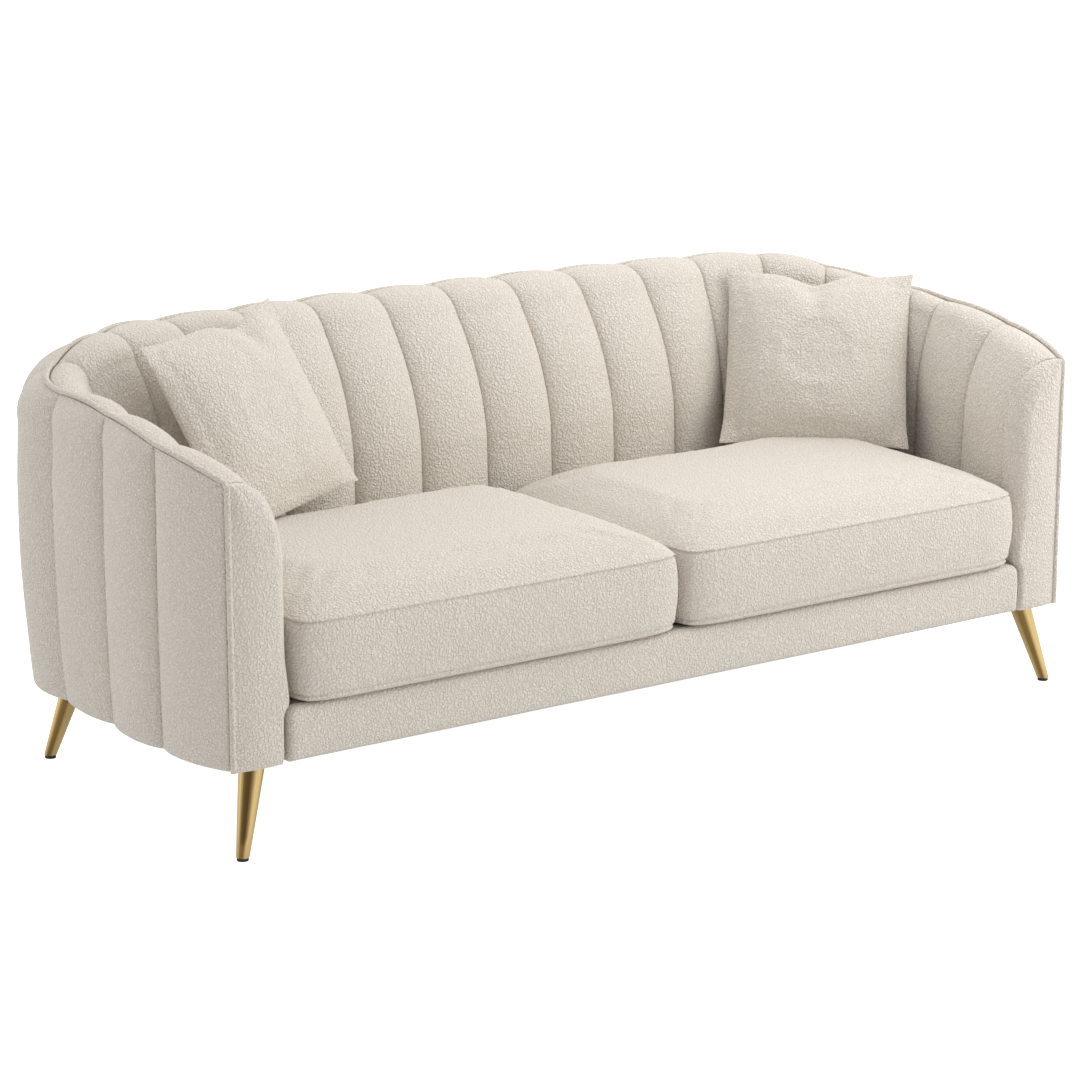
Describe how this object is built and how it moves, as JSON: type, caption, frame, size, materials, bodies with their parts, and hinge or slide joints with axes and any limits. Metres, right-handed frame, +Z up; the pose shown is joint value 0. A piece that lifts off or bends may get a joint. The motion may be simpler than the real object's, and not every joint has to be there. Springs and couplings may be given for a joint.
{
  "type": "tuxedo sofa",
  "caption": "Tuxedo sofa with a channelled wrap-round shell as high at the arms as at the back, loose box seat cushions, throw pillows and splayed tapered metal legs.",
  "frame": {"origin": "on the floor, under the middle of the sofa's plan", "axes": "+X to the sitter's left-hand arm seen from the front as the right, along the length; +Y to the back; +Z up"},
  "size_m": [2.1244, 0.9981, 0.8647],
  "materials": {
    "boucle": "nubby looped wool-like weave, matt",
    "piping": "the same weave over a cord",
    "hardwood": "planed, unfinished",
    "plywood": "sawn, unfinished",
    "dust_cloth": "thin non-woven, matt",
    "deck_cloth": "plain weave, matt",
    "spring_steel": "drawn wire",
    "clip_steel": "zinc",
    "leg_brass": "satin, brushed round",
    "plate_steel": "black, satin",
    "glide_black": "matt",
    "screw_steel": "zinc"
  },
  "bodies": {
    "sofa": {"inner_channel_01": "boucle", "inner_channel_02": "boucle", "inner_channel_03": "boucle", "inner_channel_04": "boucle", "inner_channel_05": "boucle", "inner_channel_06": "boucle", "inner_channel_07": "boucle", "inner_channel_08": "boucle", "inner_channel_09": "boucle", "inner_channel_10": "boucle", "inner_channel_11": "boucle", "inner_channel_12": "boucle", "inner_channel_13": "boucle", "inner_channel_14": "boucle", "inner_channel_15": "boucle", "inner_channel_16": "boucle", "inner_channel_17": "boucle", "inner_channel_18": "boucle", "inner_channel_19": "boucle", "inner_channel_20": "boucle", "outer_channels_left_arm": "boucle", "outer_channels_rear_left": "boucle", "outer_channels_back": "boucle", "outer_channels_rear_right": "boucle", "outer_channels_right_arm": "boucle", "arm_front_pad_left": "boucle", "arm_front_pad_right": "boucle", "front_rail_pad": "boucle", "welt": "piping", "front_rail": "hardwood", "back_rail": "hardwood", "side_rail_left": "hardwood", "side_rail_right": "hardwood", "corner_blocks": "hardwood", "stretchers": "hardwood", "shell_posts": "hardwood", "upper_risers": "hardwood", "tack_former": "plywood", "middle_former": "plywood", "upper_former": "plywood", "base_former": "plywood", "dust_cover": "dust_cloth", "deck_pad": "deck_cloth", "seat_springs": "spring_steel", "spring_clips": "clip_steel", "leg_front_left": "leg_brass", "leg_front_right": "leg_brass", "leg_rear_left": "leg_brass", "leg_rear_right": "leg_brass", "leg_plate_front_left": "plate_steel", "leg_plate_front_right": "plate_steel", "leg_plate_rear_left": "plate_steel", "leg_plate_rear_right": "plate_steel", "leg_glides": "glide_black", "leg_screws": "screw_steel"},
    "left_cushion": {"seat_cushion_left": "boucle"},
    "right_cushion": {"seat_cushion_right": "boucle"},
    "left_pillow": {"pillow_left": "boucle"},
    "right_pillow": {"pillow_right": "boucle"}
  },
  "joints": [
    {"name": "left_cushion_lift", "type": "slide", "parent": "sofa", "child": "left_cushion", "axis": [0, 0, 1], "range_m": [0, 0.35]},
    {"name": "right_cushion_lift", "type": "slide", "parent": "sofa", "child": "right_cushion", "axis": [0, 0, 1], "range_m": [0, 0.35]},
    {"name": "left_pillow_lift", "type": "slide", "parent": "left_cushion", "child": "left_pillow", "axis": [0, 0, 1], "range_m": [0, 0.35]},
    {"name": "right_pillow_lift", "type": "slide", "parent": "right_cushion", "child": "right_pillow", "axis": [0, 0, 1], "range_m": [0, 0.35]}
  ]
}
